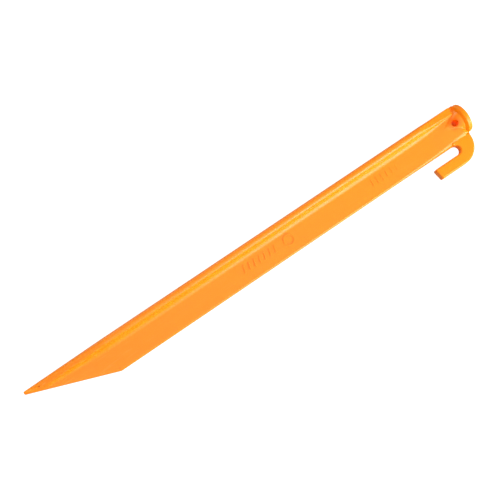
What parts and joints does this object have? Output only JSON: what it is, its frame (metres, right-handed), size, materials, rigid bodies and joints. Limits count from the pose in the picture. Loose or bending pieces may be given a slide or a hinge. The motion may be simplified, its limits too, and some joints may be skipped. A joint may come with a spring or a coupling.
{
  "type": "tent stake",
  "caption": "Moulded plastic tent stake with a T-shaped section, a blunt sloped point, a guy line hook, a pull hole and a round striking cap.",
  "frame": {"origin": "tip of the driving point, on the outer face of the flange and half way through the stake's thickness", "axes": "+X along the stake from the driving point to the striking cap, +Y out of the flange's outer face so that the hook is on the -Y side, +Z square to the web"},
  "size_m": [0.305, 0.0335, 0.0186],
  "materials": {
    "stake_plastic": "satin moulded polymer, slightly translucent orange"
  },
  "bodies": {
    "root": {"driving_point": "stake_plastic", "flange": "stake_plastic", "web": "stake_plastic", "neck": "stake_plastic", "line_hook": "stake_plastic", "striking_cap": "stake_plastic"}
  },
  "joints": []
}
